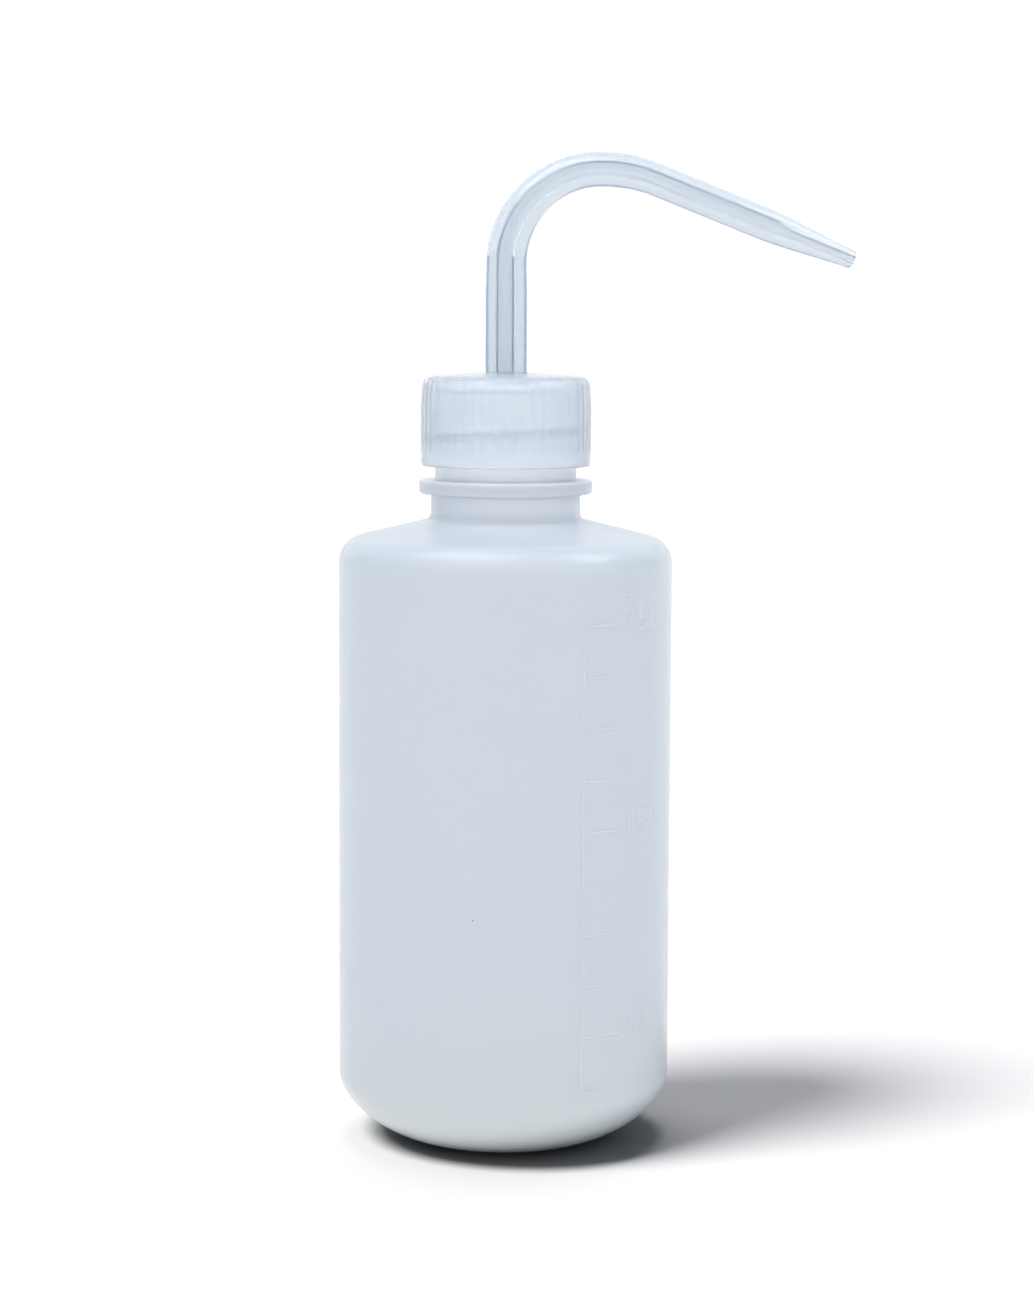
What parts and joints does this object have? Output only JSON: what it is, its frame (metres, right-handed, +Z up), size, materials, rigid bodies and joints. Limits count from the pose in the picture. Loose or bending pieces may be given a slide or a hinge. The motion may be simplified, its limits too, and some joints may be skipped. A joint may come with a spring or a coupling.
{
  "type": "wash bottle",
  "caption": "Squeezable laboratory wash bottle with a ribbed screw cap, a swivelling bent spout, a seal insert and a dip tube.",
  "frame": {"origin": "centre of the flat base that the bottle stands on", "axes": "+Z up along the bottle's axis, through the cap; +X from the axis towards the spout's tip; +Y completes a right-handed frame"},
  "size_m": [0.0938, 0.061, 0.1805],
  "materials": {
    "bottle_ldpe": "satin, milky translucent",
    "cap_pp": "semi-gloss, translucent natural",
    "insert_ldpe": "satin, milky translucent",
    "spout_pe": "semi-gloss, clear translucent",
    "tube_pe": "satin, translucent"
  },
  "bodies": {
    "bottle": {"bottle": "bottle_ldpe"},
    "closure": {"seal_insert": "insert_ldpe", "dip_tube": "tube_pe"},
    "cap": {"screw_cap": "cap_pp"},
    "spout": {"spout": "spout_pe"}
  },
  "joints": [
    {"name": "closure_lift", "type": "slide", "parent": "bottle", "child": "closure", "axis": [0, 0, 1], "range_m": [0, 0.0068]},
    {"name": "cap_turn", "type": "hinge", "parent": "closure", "child": "cap", "pos_m": [0, 0, 0.1324], "axis": [0, 0, 1], "range_deg": [0, 576]},
    {"name": "spout_swivel", "type": "hinge", "parent": "closure", "child": "spout", "pos_m": [0, 0, 0.1409], "axis": [0, 0, 1], "continuous": true}
  ],
  "couplings": [
    {"joint": "closure_lift", "follows": "cap_turn", "m_per_rad": 0.00067375}
  ]
}
